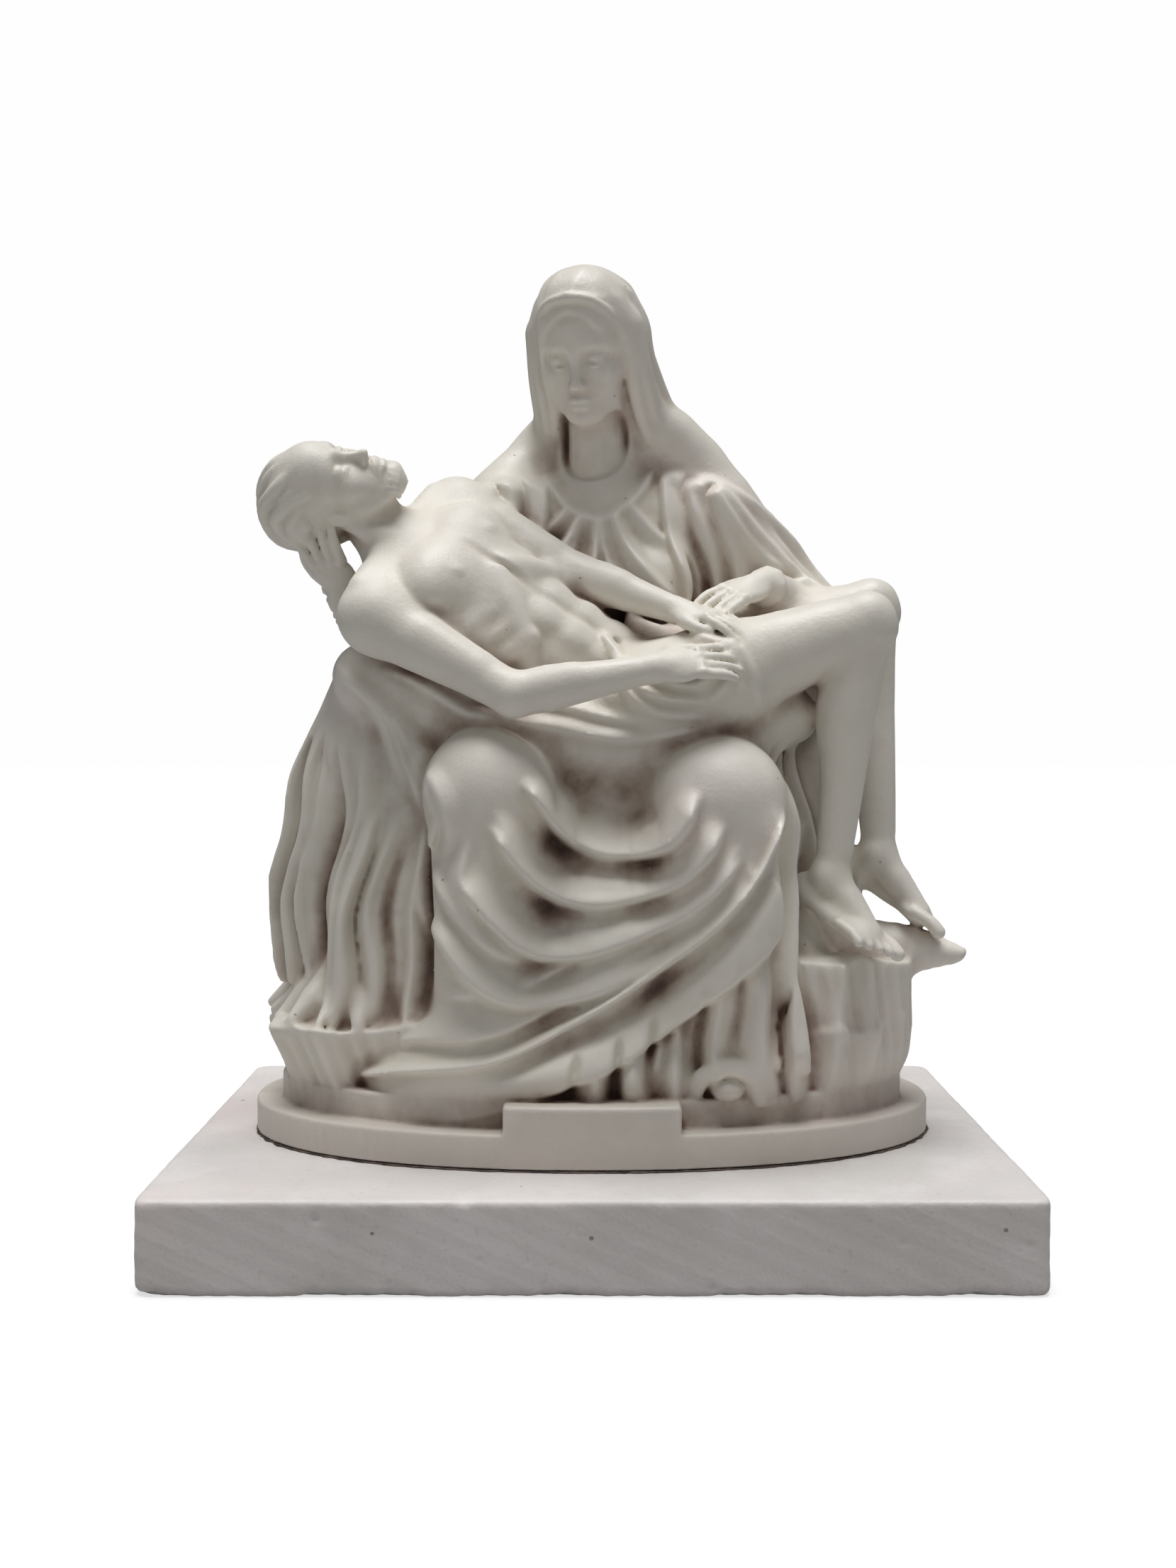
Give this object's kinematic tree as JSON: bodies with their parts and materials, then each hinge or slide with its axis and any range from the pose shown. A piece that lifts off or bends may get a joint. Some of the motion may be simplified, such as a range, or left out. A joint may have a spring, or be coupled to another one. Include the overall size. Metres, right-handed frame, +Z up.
{
  "type": "pieta statue",
  "caption": "Small cast-marble pieta: a seated, veiled mother holds her dead son across her lap, on a rock, a stepped oval plinth and a rectangular slab; stands by its own weight.",
  "frame": {"origin": "centre of the slab's underside, on the surface it stands on", "axes": "+Z up, the figures face -Y, +X to the viewer's right"},
  "size_m": [0.165, 0.116, 0.1986],
  "materials": {
    "cast_marble": "bonded-marble casting, off-white with a pinkish brown wash in the recesses, satin",
    "slab_marble": "bonded-marble slab, off-white, faintly cloudy with small casting pits, satin"
  },
  "bodies": {
    "root": {"pieta_group": "cast_marble", "base_slab": "slab_marble"}
  },
  "joints": []
}
